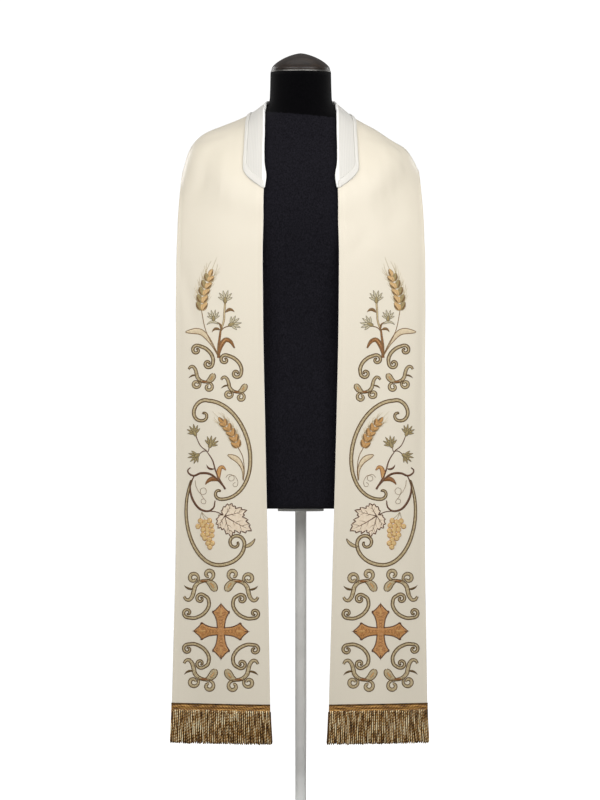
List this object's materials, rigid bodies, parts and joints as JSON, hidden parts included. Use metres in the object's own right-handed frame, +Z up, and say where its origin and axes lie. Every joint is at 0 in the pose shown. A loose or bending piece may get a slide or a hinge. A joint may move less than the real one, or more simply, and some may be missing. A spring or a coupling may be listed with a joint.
{
  "type": "clerical stole on a limbless dress form",
  "caption": "Cream neck stole with embroidered fronts, a white neck collar strip and bullion fringes, worn on a limbless black dress form on a round base.",
  "frame": {"origin": "on the floor, at the centre of the underside of the form's round base", "axes": "+Z up, -Y the front of the stole and the form, +X the wearer's left"},
  "size_m": [0.5045, 0.38, 1.5598],
  "materials": {
    "cream_satin": "matte satin weave",
    "white_cotton": "ribbed cotton tape",
    "gold_bullion": "twisted metallic thread",
    "black_jersey": "matte knit",
    "dark_wood": "satin lacquer",
    "bright_metal": "polished",
    "white_lacquer": "semi-gloss"
  },
  "bodies": {
    "root": {"stole_left": "cream_satin", "stole_right": "cream_satin", "collar_strip": "white_cotton", "fringe_left": "gold_bullion", "fringe_right": "gold_bullion", "form_torso": "black_jersey", "neck_cap": "dark_wood", "cap_rim": "bright_metal", "stand_plate": "white_lacquer", "stand_pole": "white_lacquer", "stand_base": "white_lacquer"}
  },
  "joints": []
}
